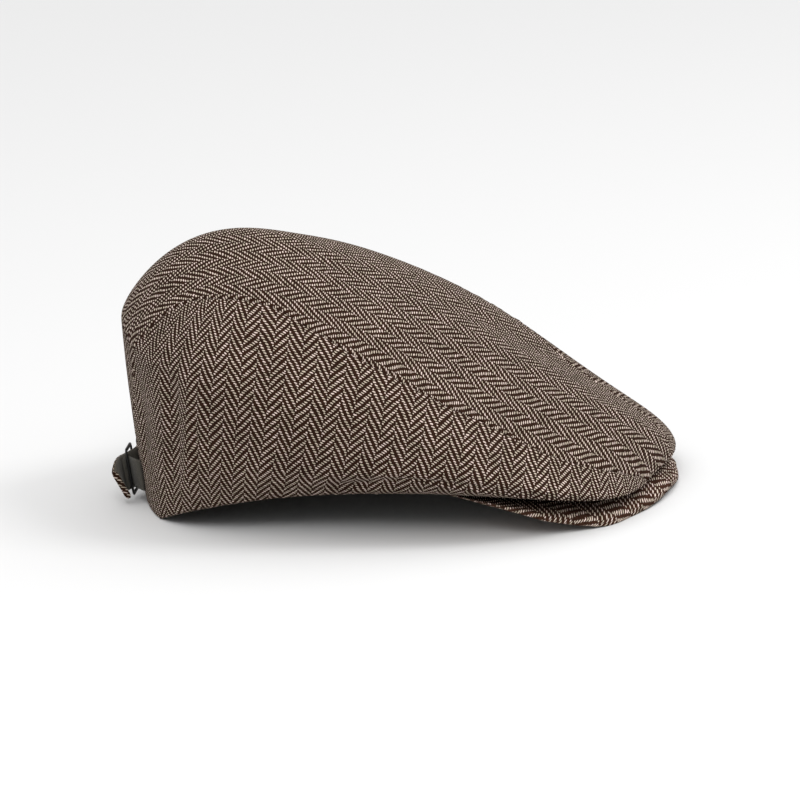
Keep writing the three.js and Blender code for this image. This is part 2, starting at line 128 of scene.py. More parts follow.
# Ends and picks at a place, as sums over its coordinates in units of 100 mm.
CLOTH_UNIT = 100.0
MIDDLE_STEPS = 801
TOP_ENDS = (-59.1, -88.3, -10.5, -10.6)
TOP_PICKS = (21.4, -106.8, 5.7)
SIDE_ENDS = (-126.2, -12.9, 5.9, 13.2, 1.1, -4.8)
SIDE_PICKS = (26.7, -97.8, 23.1, -4.2)
PEAK_ENDS = (-0.677, 0.291)
PEAK_PICKS = (0.267, -0.992)
PEAK_EDGE_PICKS = 1.5
COLUMN_WAY = (0.33, 0.944)
COLUMN_LEAN = 0.21
COLUMN_REACH = 0.78
COLUMN_START = 150.0
WRAP_FROM = 35.0
WRAP_OVER = 60.0
TUCKED_PICKS = 0.4
TUCK_FROM = 10.0

shift_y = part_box("peak")[0][1] / MM + PEAK["forward"] + PEAK_EDGE[:, 1].max() * PEAK["reach"]


def series(column, turn):
    values = np.array(SECTIONS[column], float)
    last = len(values) - 1
    ends = np.ones(last + 1)
    ends[[0, -1]] = 0.5
    k = np.arange(last + 1)
    cosines = np.cos(np.pi * np.outer(k, k) / last)
    weights = (2 / last) * (cosines @ (ends * values)) * ends
    return sum(weights[kk] * np.cos(kk * turn) for kk in k)


def smooth_rows(rows, share):
    last = len(rows) - 1
    place = np.clip(np.asarray(share, float), 0, 1) * last
    i = np.minimum(np.floor(place).astype(int), last - 1)
    f = (place - i)[..., None]
    p1 = rows[i]
    p2 = rows[i + 1]
    p0 = np.where((i > 0)[..., None], rows[np.maximum(i - 1, 0)], 2 * p1 - p2)
    p3 = np.where((i < last - 1)[..., None], rows[np.minimum(i + 2, last)], 2 * p2 - p1)
    a = 2 * p0 - 5 * p1 + 4 * p2 - p3
    b = 3 * p1 - p0 - 3 * p2 + p3
    return 0.5 * (2 * p1 + (p2 - p0) * f + a * f * f + b * f ** 3)


def disc_point(turn, reach):
    turn = np.radians(turn)
    return np.stack(np.broadcast_arrays(reach * np.sin(turn), -reach * np.cos(turn)), -1)


def crown(disc):
    reach = np.hypot(disc[..., 0], disc[..., 1])
    turn = np.arctan2(np.abs(disc[..., 0]), -disc[..., 1])
    side = np.where(disc[..., 0] < 0, -1.0, 1.0)
    widest = series("widest", turn)
    wx = np.sin(turn) * widest * CROWN["half_width"]
    wy = -np.cos(turn) * widest * CROWN["half_length"]
    wz = series("widest_height", turn) * CROWN["height"]
    t = np.sin(np.pi / 2 * np.clip(reach / WIDEST_REACH, 0, 1))
    dome = np.clip(1 - t ** series("crest", turn), 0, 1) ** (1 / series("shoulder", turn))
    rise = CROWN["back_rise"] * (wy / CROWN["half_length"]) * t * (1 - t * t)
    z_top = wz + (CROWN["height"] - wz) * dome + rise
    w = np.clip((reach - WIDEST_REACH) / (1 - WIDEST_REACH), 0, 1)
    rim = series("rim", turn)
    rx = np.sin(turn) * rim * HEAD["half_width"]
    ry = HEAD["set_back"] - np.cos(turn) * rim * HEAD["half_length"]
    rz = np.maximum(series("rim_height", turn) * HEAD["lift"], 0)
    tuck = wz - series("tuck", turn) * CROWN["height"]
    z_low = (1 - w) ** 2 * wz + 2 * w * (1 - w) * tuck + w * w * rz
    up = reach <= WIDEST_REACH
    x = np.where(up, wx * t, wx + (rx - wx) * w * w)
    y = np.where(up, wy * t, wy + (ry - wy) * w * w)
    return np.stack([side * x, y, np.where(up, z_top, z_low)], -1)


def unit(v):
    return v / np.maximum(np.linalg.norm(v, axis=-1, keepdims=True), 1e-12)


def normal(disc, step=0.02):
    reach = np.linalg.norm(disc, axis=-1, keepdims=True)
    inside = disc * np.minimum(1, (1 - step) / np.maximum(reach, 1e-9))
    sx, sy = np.array([step, 0.0]), np.array([0.0, step])
    return unit(np.cross(crown(inside + sx) - crown(inside - sx), crown(inside + sy) - crown(inside - sy)))


def dent_at(disc, dents):
    depth = np.zeros(disc.shape[:-1])
    for side, turn, reach, long, short, lean, deep in dents:
        middle = disc_point(side * turn, reach)
        away = disc - middle
        a = np.radians(-side * (turn + lean))
        ax = away[..., 0] * np.cos(a) - away[..., 1] * np.sin(a)
        ay = away[..., 0] * np.sin(a) + away[..., 1] * np.cos(a)
        depth = depth + deep * np.exp(-(ay / long) ** 2 - (ax / short) ** 2)
    s = np.clip((1 - np.linalg.norm(disc, axis=-1)) / DENT_FADE, 0, 1)
    return depth * DENT_DEPTH * s * s * (3 - 2 * s)


def waves(s, seed):
    """A smooth irregular wave of about -1 to 1 along s in millimetres."""
    rng = np.random.RandomState(seed)
    total = np.zeros_like(s)
    for length in WAVE_LENGTHS:
        total += rng.uniform(0.6, 1.0) * np.sin(2 * np.pi * (s / length + rng.uniform()))
    return total / WAVE_SCALE


ROOT = "root"


def place(points):
    out = np.array(points, float)
    out[..., 1] += shift_y
    return out * MM


def make_object(name, verts, faces, materials, face_materials=None, uvs=None, smooth=True):
    mesh = bpy.data.meshes.new(name)
    mesh.from_pydata([tuple(v) for v in verts], [], faces)
    for material in materials:
        mesh.materials.append(material)
    if face_materials is not None:
        mesh.polygons.foreach_set("material_index", np.asarray(face_materials, dtype=np.int32))
    if uvs is not None:
        layer = mesh.uv_layers.new(name="cloth")
        index = np.empty(len(mesh.loops), dtype=np.int32)
        mesh.loops.foreach_get("vertex_index", index)
        layer.data.foreach_set("uv", np.asarray(uvs, float)[index].ravel())
    mesh.polygons.foreach_set("use_smooth", np.full(len(mesh.polygons), smooth))
    mesh.update()
    obj = bpy.data.objects.new(name, mesh)
    bpy.context.scene.collection.objects.link(obj)
    return obj


def slab(name, outer, inner, uv, materials, rim_shift=0.0):
    """A closed sheet between two grids; the inner side takes the second material."""
    ni, nj = outer.shape[:2]
    number = np.arange(ni * nj).reshape(ni, nj)
    off = ni * nj
    a, b, c, d = number[:-1, :-1], number[1:, :-1], number[1:, 1:], number[:-1, 1:]
    top = np.stack([a, b, c, d], -1).reshape(-1, 4)
    low = np.stack([a, d, c, b], -1).reshape(-1, 4) + off
    ring = np.concatenate([number[0, :-1], number[:-1, -1], number[-1, :0:-1], number[:0:-1, 0]])
    after = np.roll(ring, -1)
    rim = np.stack([ring, after, after + off, ring + off], -1)
    faces = np.concatenate([top, low, rim])
    verts = np.concatenate([outer.reshape(-1, 3), inner.reshape(-1, 3)])
    flip = signed_volume(verts, faces) < 0
    if flip:
        faces = faces[:, ::-1]
    kinds = np.zeros(len(faces), int)
    if len(materials) > 1:
        kinds[len(top):len(top) + len(low)] = 1
    uvs = np.concatenate([uv.reshape(-1, 2), uv.reshape(-1, 2) + rim_shift])
    return make_object(name, place(verts), faces.tolist(), materials, kinds, uvs)


def signed_volume(verts, faces):
    p = verts[faces]
    first = np.einsum("ij,ij->i", p[:, 0], np.cross(p[:, 1], p[:, 2])).sum()
    return first + np.einsum("ij,ij->i", p[:, 0], np.cross(p[:, 2], p[:, 3])).sum()


def lengths(points, axis):
    step = np.linalg.norm(np.diff(points, axis=axis), axis=-1)
    start = np.zeros_like(np.take(step, [0], axis=axis))
    return np.concatenate([start, np.cumsum(step, axis=axis)], axis=axis)


def near(distance, width):
    return np.exp(-(distance / width) ** 2)


def cloth_relief(to_seam, along_seam, to_rim, along_rim, seed):
    """How far the cloth stands off its smooth surface near a seam and near the rim's hem."""
    ripple = RELIEF["ripple"] * waves(along_seam, seed)
    seam = RELIEF["groove"] * near(to_seam, RELIEF["groove_width"])
    seam += (RELIEF["swell"] + ripple) * near(to_seam - RELIEF["swell_at"], RELIEF["swell_width"])
    seam += ripple * near(to_seam, RELIEF["pull_width"])
    hem = RELIEF["edge"] * near(to_rim, RELIEF["edge_width"])
    hem += RELIEF["stitch"] * near(to_rim - RELIEF["stitch_at"], RELIEF["edge_width"])
    hem += RELIEF["ripple"] * waves(along_rim, seed + SEEDS["rim"]) * near(to_rim, RELIEF["hem_width"])
    return seam + hem


def panel(name, disc, uv, relief, materials):
    out = normal(disc)
    smooth = crown(disc)
    dent = dent_at(disc, DENTS)
    fine = dent_at(disc, FOLDS)
    body = smooth - out * dent[..., None]
    outer = body + out * (relief - fine)[..., None]
    inner = body - out * CLOTH
    inner[..., 2] = np.where(smooth[..., 2] < 0.2, np.maximum(body[..., 2], 0.0), inner[..., 2])
    outer[..., 2] = np.maximum(outer[..., 2], 0.0)
    inner[..., 2] = np.maximum(inner[..., 2], 0.0)
    return slab(name, outer, inner, uv, materials)


def seam_places(n):
    return smooth_rows(SEAM, np.linspace(0, 1, n))


def top_disc():
    """The top panel's grid: from the front rim, between the seams, to the rim at the back."""
    places = seam_places(GRID["top_rows"])
    n_front, n_back = GRID["front_rows"], GRID["back_rows"]
    front = np.stack([np.full(n_front, places[0, 0]), np.linspace(1, places[0, 1], n_front + 1)[:-1]], -1)
    back = np.stack([np.full(n_back, places[-1, 0]), np.linspace(places[-1, 1], 1, n_back + 1)[1:]], -1)
    places = np.concatenate([front, places, back])
    across = np.linspace(-1, 1, GRID["top_columns"])
    across = np.sign(across) * (1 - (1 - np.abs(across)) ** SEAM_CROWDING)
    turn, reach = places[:, :1], places[:, 1:]
    arc_turn = np.where(turn < 90, across * turn, 180 - across * (180 - turn))
    arc = disc_point(arc_turn, np.broadcast_to(reach, arc_turn.shape))
    chord = disc_point(turn, reach) * np.stack([across, np.ones_like(across)], -1)
    straight = np.where(reach < RIM_REACH, np.sin(np.radians(turn)) ** 2, 0)[..., None]
    return arc + (chord - arc) * straight


def top_panel(materials):
    disc = top_disc()
    flat = crown(disc)
    span = lengths(flat, 1)
    total = span[:, -1:]
    to_seam = np.minimum(span, total - span)
    along = np.broadcast_to(lengths(flat[:, :1], 0), span.shape)
    from_front = lengths(flat, 0)
    to_rim = np.minimum(from_front, from_front[-1:] - from_front)
    relief = cloth_relief(to_seam, along, to_rim, span, SEEDS["top"])
    return panel("crown_top_cloth", disc, top_cloth(disc), relief, materials)


def at_widest(disc):
    """The surface point straight above a place that lies under the widest line, else the place itself."""
    reach = np.linalg.norm(disc, axis=-1, keepdims=True)
    return crown(disc * np.minimum(1, WIDEST_REACH / np.maximum(reach, 1e-9)))


def weighed(weights, *terms):
    return sum(weight * term for weight, term in zip(weights, terms))


def top_cloth(disc):
    """Cloth place on the top: columns run from back to front, picks from side to side."""
    points = at_widest(disc)
    x, z = points[..., 0] / CLOTH_UNIT, points[..., 2] / CLOTH_UNIT
    under = np.linalg.norm(crown(disc) - points, axis=-1) / CLOTH_UNIT * np.sign(disc[..., 1])
    share = np.linspace(-WIDEST_REACH, WIDEST_REACH, MIDDLE_STEPS)
    middle = crown(disc_point(np.where(share < 0, 180.0, 0.0), np.abs(share)))
    arc = lengths(middle[:, None], 0)[:, 0] / CLOTH_UNIT
    order = np.argsort(middle[:, 1])
    back = np.interp(points[..., 1], middle[order, 1], (arc[-1] - arc)[order])
    ridge = np.interp(points[..., 1], middle[order, 1], middle[order, 2]) / CLOTH_UNIT
    fall = np.sign(x) * np.maximum(ridge - z, 0)
    ends = weighed(TOP_ENDS, x, fall, back, x * back)
    picks = weighed(TOP_PICKS, x, back + under, back ** 2)
    return np.stack([ends * END, picks * PICK], -1)


def side_panel(side, materials):
    places = seam_places(GRID["side_columns"])
    rows = np.linspace(0, 1, GRID["side_rows"])
    turn = np.broadcast_to(places[:, :1], (len(places), len(rows)))
    reach = 1 + (places[:, 1:] - 1) * rows
    disc = disc_point(side * turn, reach)
    flat = crown(disc)
    up = lengths(flat, 1)
    total = up[:, -1:]
    along = lengths(flat, 0)
    across_front = np.linalg.norm(flat - flat[:1], axis=-1)
    across_back = np.linalg.norm(flat - flat[-1:], axis=-1)
    to_seam = np.minimum(np.minimum(total - up, across_front), across_back)
    which = "right" if side < 0 else "left"
    relief = cloth_relief(to_seam, np.broadcast_to(along[:, -1:], up.shape), up, along, SEEDS[which])
    tucked = np.linalg.norm((flat - at_widest(disc))[..., :2], axis=-1)
    return panel("crown_side_cloth_" + which, disc, side_cloth(flat, tucked), relief, materials)


def side_cloth(points, tucked):
    """Flat place of the side's cloth: its columns stand across the cap's length, and wrap round the back."""
    turns = np.linspace(0, 180, 361)
    line = crown(disc_point(turns, np.full_like(turns, COLUMN_REACH)))
    mark = lengths(line[:, None], 0)[:, 0]
    spread = COLUMN_WAY[0] * np.abs(line[:, 0]) + COLUMN_WAY[1] * line[:, 1]
    last = int(np.argmax(spread)) + 1
    here = COLUMN_WAY[0] * np.abs(points[..., 0]) + COLUMN_WAY[1] * points[..., 1]
    straight = np.interp(here, spread[:last], mark[:last])
    plan = np.degrees(np.arctan2(np.abs(line[:, 0]), -(line[:, 1] - HEAD["set_back"])))
    plan_here = np.degrees(np.arctan2(np.abs(points[..., 0]), -(points[..., 1] - HEAD["set_back"])))
    wrapped = np.interp(plan_here, plan, mark)
    share = np.clip((points[..., 1] - WRAP_FROM) / WRAP_OVER, 0, 1)
    share = share * share * (3 - 2 * share)
    x, z = np.abs(points[..., 0]) / CLOTH_UNIT, points[..., 2] / CLOTH_UNIT
    ahead = (straight + (wrapped - straight) * share - COLUMN_START) / CLOTH_UNIT + COLUMN_LEAN * z
    ends = weighed(SIDE_ENDS, ahead, z, ahead ** 2, ahead * z, z * z, 1.0)
    picks = weighed(SIDE_PICKS, ahead, z, x, ahead ** 2) + TUCKED_PICKS * np.maximum(tucked - TUCK_FROM, 0)
    return np.stack([ends * END, picks * PICK], -1)

class Nodes:
    """Short calls for building a node tree."""

    def __init__(self, name):
        self.material = bpy.data.materials.new(name)
        self.material.use_nodes = True
        self.tree = self.material.node_tree
        self.tree.nodes.clear()

    def new(self, kind, **values):
        node = self.tree.nodes.new(kind)
        for key, value in values.items():
            setattr(node, key, value)
        return node

    def put(self, socket, value):
        if isinstance(value, bpy.types.NodeSocket):
            self.tree.links.new(value, socket)
        else:
            socket.default_value = value

    def math(self, operation, a, b=None, c=None):
        node = self.new("ShaderNodeMath", operation=operation)
        self.put(node.inputs[0], a)
        if b is not None:
            self.put(node.inputs[1], b)
        if c is not None:
            self.put(node.inputs[2], c)
        return node.outputs[0]

    def noise_node(self, vector, scale, detail, dimensions):
        node = self.new("ShaderNodeTexNoise", noise_dimensions=dimensions)
        self.put(node.inputs["Vector"], vector)
        node.inputs["Scale"].default_value = scale
        node.inputs["Detail"].default_value = detail
        return node

    def noise(self, vector, scale, detail, dimensions="2D"):
        return self.noise_node(vector, scale, detail, dimensions).outputs[0]

    def split(self, vector):
        node = self.new("ShaderNodeSeparateXYZ")
        self.put(node.inputs[0], vector)
        return node.outputs

    def around(self, value, middle, amount, base):
        """The base value plus an amount of how far a value lies from its middle."""
        return self.math("MULTIPLY_ADD", self.math("SUBTRACT", value, middle), amount, base)

    def power(self, value, size, exponent):
        """How far a value reaches out of a size, raised to a power."""
        return self.math("POWER", self.math("ABSOLUTE", self.math("DIVIDE", value, size)), exponent)

    def toned(self, colour, tone):
        """A colour times one grey tone."""
        grey = self.new("ShaderNodeCombineColor")
        for socket in grey.inputs[:3]:
            self.put(socket, tone)
        return self.mix(1.0, colour, grey.outputs[0], "MULTIPLY")

    def put_colour(self, socket, value):
        self.put(socket, value if isinstance(value, bpy.types.NodeSocket) else (*value, 1))

    def mix(self, fac, a, b, mode="MIX"):
        node = self.new("ShaderNodeMix", data_type="RGBA", blend_type=mode)
        self.put(node.inputs[0], fac)
        self.put_colour(node.inputs[6], a)
        self.put_colour(node.inputs[7], b)
        return node.outputs[2]

    def finish(self, colour, roughness, height=None, distance=0.0003, strength=1.0, **constant):
        shader = self.new("ShaderNodeBsdfPrincipled")
        self.put_colour(shader.inputs["Base Color"], colour)
        self.put(shader.inputs["Roughness"], roughness)
        for key, value in constant.items():
            shader.inputs[key.replace("_", " ")].default_value = value
        if height is not None:
            bump = self.new("ShaderNodeBump")
            bump.inputs["Strength"].default_value = strength
            bump.inputs["Distance"].default_value = distance
            self.put(bump.inputs["Height"], height)
            self.put(shader.inputs["Normal"], bump.outputs[0])
        output = self.new("ShaderNodeOutputMaterial")
        self.tree.links.new(shader.outputs[0], output.inputs[0])
        return self.material


# The weave's drift, as noise scale and amount in millimetres, and the shape and tones of its light floats.
WOBBLES = ((0.07, 2.0), (0.7, 0.6))
DASH = dict(
    lean=-0.09, half_width=0.30, end_shape=2.4, side_shape=2.0, outside=1.35, inside=0.25,
    least_half=0.25, least_reach=0.3,
)
TONE = dict(each=0.5, patch=0.35, fuzz=0.6, patch_scale=0.05, fuzz_scale=5.0)
HEIGHT = dict(pick=0.5, cut=1.6, dark_rib=-0.1, fuzz=0.3)
PLAIN_THREAD = 0.55


def linear(r, g, b):
    return tuple((c / 255 / 12.92) if c <= 10 else ((c / 255 + 0.055) / 1.055) ** 2.4 for c in (r, g, b))


def herringbone(name, dark, light):
    """Broken herringbone of a 2/2 twill: light picks float over two dark ends, one end further a row."""
    n = Nodes(name)
    uv = n.new("ShaderNodeUVMap", uv_map="cloth").outputs[0]
    u, v = n.split(uv)[:2]
    for scale, amount in WOBBLES:
        drift = n.split(n.noise_node(uv, scale, 2.0, "2D").outputs["Color"])
        u = n.around(drift[0], 0.5, amount, u)
        v = n.around(drift[1], 0.5, amount, v)
    end = n.math("DIVIDE", u, END)
    pick = n.math("DIVIDE", v, PICK)

    column = n.math("FLOOR", n.math("DIVIDE", end, ENDS_A_COLUMN))
    column_start = n.math("MULTIPLY", column, ENDS_A_COLUMN)
    column_stop = n.math("ADD", column_start, ENDS_A_COLUMN)
    way = n.math("MULTIPLY_ADD", n.math("FLOORED_MODULO", column, 2.0), -2.0, 1.0)
    row = n.math("FLOOR", pick)
    inside_row = n.math("SUBTRACT", n.math("FRACT", pick), 0.5)

    # Place of this point in its float, which reaches one end to either side and stops at its column's edge.
    past = n.math("SUBTRACT", end, n.math("MULTIPLY_ADD", way, row, 1.0))
    x = n.math("SUBTRACT", n.math("FLOORED_MODULO", n.math("ADD", past, REPEAT / 2), REPEAT), REPEAT / 2)
    middle = n.math("SUBTRACT", end, x)
    start = n.math("MAXIMUM", n.math("SUBTRACT", middle, 1.0), column_start)
    stop = n.math("MINIMUM", n.math("ADD", middle, 1.0), column_stop)
    half = n.math("MULTIPLY", n.math("SUBTRACT", stop, start), 0.5)
    real = n.math("GREATER_THAN", half, DASH["least_half"])
    reach = n.math("MAXIMUM", half, DASH["least_reach"])
    from_middle = n.math("SUBTRACT", end, n.math("MULTIPLY", n.math("ADD", start, stop), 0.5))
    lean = n.math("MULTIPLY_ADD", from_middle, DASH["lean"], inside_row)
    far = n.math("ADD", n.power(from_middle, reach, DASH["end_shape"]),
                 n.power(lean, DASH["half_width"], DASH["side_shape"]))
    mask = n.new("ShaderNodeMapRange", interpolation_type="SMOOTHSTEP")
    n.put(mask.inputs["Value"], far)
    mask.inputs["From Min"].default_value = DASH["outside"]
    mask.inputs["From Max"].default_value = DASH["inside"]
    light_mask = n.math("MULTIPLY", mask.outputs[0], real)

    # Each float has its own tone, over slow patches and the fuzz of the fibres.
    dash = n.new("ShaderNodeCombineXYZ")
    n.put(dash.inputs[0], n.math("ROUND", middle))
    n.put(dash.inputs[1], row)
    each = n.new("ShaderNodeTexWhiteNoise", noise_dimensions="2D")
    n.put(each.inputs["Vector"], dash.outputs[0])
    each = each.outputs["Value"]
    patch = n.noise(uv, TONE["patch_scale"], 3.0)
    fuzz = n.noise(uv, TONE["fuzz_scale"], 3.0)
    tone = n.around(each, 0.5, TONE["each"], 1.0)
    tone = n.around(patch, 0.5, TONE["patch"], tone)
    tone = n.around(fuzz, 0.5, TONE["fuzz"], tone)
    colour = n.toned(n.mix(light_mask, dark, n.mix(each, light[0], light[1])), tone)

    round_pick = n.math("MULTIPLY", n.math("SUBTRACT", 1.0, n.math("MINIMUM", far, HEIGHT["cut"])), real)
    dark_rib = n.math("MULTIPLY", n.math("COSINE", n.math("MULTIPLY", end, 2 * math.pi)), HEIGHT["dark_rib"])
    height = n.math("MAXIMUM", n.math("MULTIPLY", round_pick, HEIGHT["pick"]), dark_rib)
    height = n.math("MULTIPLY_ADD", fuzz, HEIGHT["fuzz"], height)
    return n.finish(colour, 0.95, height, distance=0.0003, strength=0.8, Specular_IOR_Level=0.06)


def plain_cloth(name, colour, scale=1.0):
    n = Nodes(name)
    uv = n.new("ShaderNodeUVMap", uv_map="cloth").outputs[0]
    turns = 2 * math.pi / (PLAIN_THREAD * scale)
    warp, weft = (n.math("SINE", n.math("MULTIPLY", place, turns)) for place in n.split(uv)[:2])
    weave = n.math("MULTIPLY", warp, weft)
    patch = n.noise(uv, 0.3, 3.0)
    tone = n.math("MULTIPLY_ADD", weave, 0.16, n.math("MULTIPLY_ADD", patch, 0.5, 0.75))
    return n.finish(n.toned(colour, tone), 0.9, weave, distance=0.00008, strength=0.7,
                    Sheen_Weight=0.15, Sheen_Roughness=0.5, Specular_IOR_Level=0.2)


def ring_plastic(name):
    n = Nodes(name)
    where = n.new("ShaderNodeTexCoord").outputs["Object"]
    mark = n.noise(where, 900.0, 4.0, "3D")
    rough = n.math("MULTIPLY_ADD", mark, 0.25, 0.3)
    return n.finish(linear(16, 16, 17), rough, mark, distance=0.00003, strength=0.4, Specular_IOR_Level=0.45)


tweed = herringbone(
    "tweed_herringbone", linear(44, 26, 17), (linear(212, 198, 176), linear(206, 188, 180)))
# The peak takes a lighter copy of the tweed: painted light, brightening it to stand in for the shade the
# crown's overhang casts on the peak.
peak_tweed_painted_light = herringbone(
    "tweed_herringbone_peak_painted_light", linear(58, 36, 26), (linear(236, 221, 197), linear(230, 210, 202)))
lining = plain_cloth("inner_lining_cloth", linear(88, 84, 76))
loop_cloth = plain_cloth("loop_cloth", linear(70, 67, 60), 0.8)
black = ring_plastic("slider_black")

crown_top = top_panel([tweed, lining])
side_right = side_panel(-1, [tweed, lining])
side_left = side_panel(1, [tweed, lining])


def peak(materials):
    dress = PEAK_DRESS
    n_across, n_run = GRID["peak_across"], GRID["peak_run"]
    upward = np.array([0, 0, 1.0])
    share = np.linspace(-1, 1, n_across)
    edge = smooth_rows(PEAK_EDGE, np.abs(share))
    side = np.where(share < 0, -1.0, 1.0)
    low = np.stack([side * edge[:, 0] * PEAK["half_width"], -PEAK["forward"] - edge[:, 1] * PEAK["reach"],
                    np.maximum(edge[:, 2], 0) * PEAK["drop"]], -1)
    thick = edge[:, 3] ** 2 * PEAK["thick"] * dress["thin"]
    corner = np.clip((np.abs(share) - dress["corner_from"]) / (1 - dress["corner_from"]), 0, 1)
    low[:, 2] = np.maximum(low[:, 2] + dress["corner_lift"] * corner, 0)
    root = crown(disc_point(share * PEAK["root_turn"], np.ones_like(share)))
    root[:, 2] -= PEAK["root_gap"]
    high = low + upward * thick[:, None]
    inward = unit((root - low) * np.array([1, 1, 0]))

    run = 1 - (1 - np.linspace(0, 1, n_run)) ** dress["crowding"]
    top = root[:, None] + (high - root)[:, None] * run[None, :, None]
    bend = dress["climb"] - dress["side_climb"] * np.clip(np.abs(share) * 2, 0, 1)[:, None]
    climb = (1 - run)[None, :] ** bend - (1 - run)[None, :]
    top[..., 2] += climb * (root - high)[:, 2][:, None]
    bottom = top[:, ::-1] - upward * thick[:, None, None]
    bottom[..., 2] = np.maximum(bottom[..., 2], 0)

    half = thick[:, None, None] / 2
    set_in = inward[:, None] * half * dress["round"]
    angle = np.linspace(0, np.pi, 13)[1:-1, None]
    middle = low[:, None] + upward * half + set_in
    round_edge = middle - set_in * np.sin(angle) + upward * half * np.cos(angle)
    blend = run[:, None] ** dress["blend"]
    loop = np.concatenate([top[:, :-1] + set_in * blend[:-1], round_edge,
                           bottom[:, 1:] + set_in * blend[::-1][1:]], 1)
    loop[..., 2] = np.maximum(loop[..., 2], 0.0)

    around = lengths(loop, 1)
    from_edge = np.abs(around - around[:, n_run + 4][:, None])
    along = np.broadcast_to(lengths(low[:, None], 0), from_edge.shape)
    relief = dress["stitch"] * near(from_edge - dress["stitch_at"], dress["stitch_width"])
    relief += dress["groove"] * near(from_edge, dress["groove_width"])
    relief += dress["ripple"] * waves(along, SEEDS["peak"]) * near(from_edge, dress["ripple_width"])
    ways = unit(np.cross(np.gradient(loop, axis=0), np.gradient(loop, axis=1)))
    sign = np.sign(ways[n_across // 2, 5, 2]) or 1.0
    loop = loop + ways * sign * relief[..., None]
    loop[..., 2] = np.maximum(loop[..., 2], 0.0)

    n_loop = loop.shape[1]
    number = np.arange(n_across * n_loop).reshape(n_across, n_loop)
    a, b = number[:-1], number[1:]
    after = np.roll(np.arange(n_loop), -1)
    faces = np.stack([a, b, b[:, after], a[:, after]], -1).reshape(-1, 4)
    flip = signed_volume(loop.reshape(-1, 3), faces) < 0
    if flip:
        faces = faces[:, ::-1]
    faces = faces.tolist()
    first, last = number[0].tolist(), number[-1].tolist()
    faces.append(first if flip else first[::-1])
    faces.append(last[::-1] if flip else last)

    turn_at = n_run - 2
    beyond = np.maximum(around - around[:, turn_at][:, None], 0)[..., None]
    folded = loop[:, turn_at][:, None] - inward[:, None] * beyond * PEAK_EDGE_PICKS
    plan = np.where(beyond > 0, folded, loop)
    ends = weighed(PEAK_ENDS, plan[..., 0], plan[..., 1])
    picks = weighed(PEAK_PICKS, plan[..., 0], plan[..., 1])
    uv = np.stack([ends * END, picks * PICK], -1)
    return make_object("peak_cloth", place(loop.reshape(-1, 3)), faces, materials, None, uv.reshape(-1, 2))


peak_piece = peak([peak_tweed_painted_light])


# The strap's end swells and narrows by these shares; the straps' long edges are rounded.
TIP = dict(length=5.0, swell=0.4, narrow=0.16)
EDGE_SHAPE = 12
LEAST_EDGE = 0.12
WALL_STEP = 4.0
RING_SHAPE = 0.7
LOOP_STEPS = 24


def wall_frame(along, height):
    """Point, outward way, level way and upward way on the back wall."""
    step = WALL_STEP
    per_degree = np.linalg.norm(crown(disc_point(180 - step, 1.0)) - crown(disc_point(180.0, 1.0))) / step
    turn = 180 + along / per_degree
    low, high = WIDEST_REACH, 1.0
    for _ in range(30):
        reach = (low + high) / 2
        if crown(disc_point(turn, reach))[2] > height:
            low = reach
        else:
            high = reach
    disc = disc_point(turn, high)
    out = normal(disc)
    point = crown(disc) - out * dent_at(disc, DENTS)
    level = unit(np.cross([0.0, 0.0, 1.0], out))
    return point, out, level, np.cross(out, level)


def turned(v, axis, degrees):
    a = math.radians(degrees)
    return v * math.cos(a) + np.cross(axis, v) * math.sin(a) + axis * np.dot(axis, v) * (1 - math.cos(a))


def ribbon(name, middles, ups, outs, width, thick, materials, steps, tip=0.0):
    """A flat strap with rounded edges through stations; the inner face takes the second material."""
    n = len(middles)
    across = np.linspace(-0.5, 0.5, steps)
    wide = np.full(n, width)
    deep = np.full(n, thick / 2)
    if tip > 0:
        run = lengths(middles[:, None], 0)[:, 0]
        last_tenth = np.clip(run / run[-1] * 10 - 9, 0, 1)
        deep = deep * (1 + TIP["swell"] * last_tenth)
        left = np.clip((run[-1] - run) / tip, 0, 1)
        wide = width * (1 - TIP["narrow"] * (1 - np.sqrt(1 - (1 - left) ** 2)))
    edge = np.sqrt(np.clip(1 - (np.abs(across) * 2) ** EDGE_SHAPE, LEAST_EDGE, 1))
    u = across[None, :] * wide[:, None]
    v = np.broadcast_to(lengths(middles[:, None], 0), u.shape)
    place_at = middles[:, None] + ups[:, None] * u[..., None]
    offset = outs[:, None] * (deep[:, None] * edge)[..., None]
    outer, inner = place_at + offset, place_at - offset
    return slab(name, outer, inner, np.stack([v, u], -1), materials, rim_shift=thick)


def strap(materials):
    rows = smooth_rows(STRAP_ROWS, np.linspace(0, 1, GRID["strap"]))
    middles, ups, outs = [], [], []
    for along, lift, height, lean in rows:
        point, out, level, up = wall_frame(along * STRAP["start"], height * STRAP["height"])
        stand = FIT + STRAP["thick"] / 2 + lift * STRAP["stand"]
        middles.append(point + out * stand)
        ups.append(turned(up, level, lean))
        outs.append(turned(out, level, lean))
    middles, ups, outs = np.array(middles), np.array(ups), np.array(outs)
    way = unit(np.gradient(middles, axis=0))
    outs = unit(outs - way * np.sum(outs * way, -1, keepdims=True))
    return ribbon("back_strap_cloth", middles, ups, outs, STRAP["width"], STRAP["thick"], materials,
                  GRID["strap_across"], TIP["length"])


def ring_frame():
    point, out, _, _ = wall_frame(RING["along"], STRAP["height"])
    next_point = wall_frame(RING["along"] + 1, STRAP["height"])[0]
    along = next_point - point
    along = unit(along - out * np.dot(along, out))
    swing = math.radians(RING["swing"])
    bar_offset = RING["length"] / 2 - RING["bar"] / 2
    far_stand = FIT + STRAP["thick"] + FIT + RING["thick"] / 2
    middle = point + out * (far_stand + RING["lift"] + bar_offset * math.sin(swing))
    way = along * math.cos(swing) + out * math.sin(swing)
    ahead = out * math.cos(swing) - along * math.sin(swing)
    return middle, way, np.cross(ahead, way), ahead, bar_offset


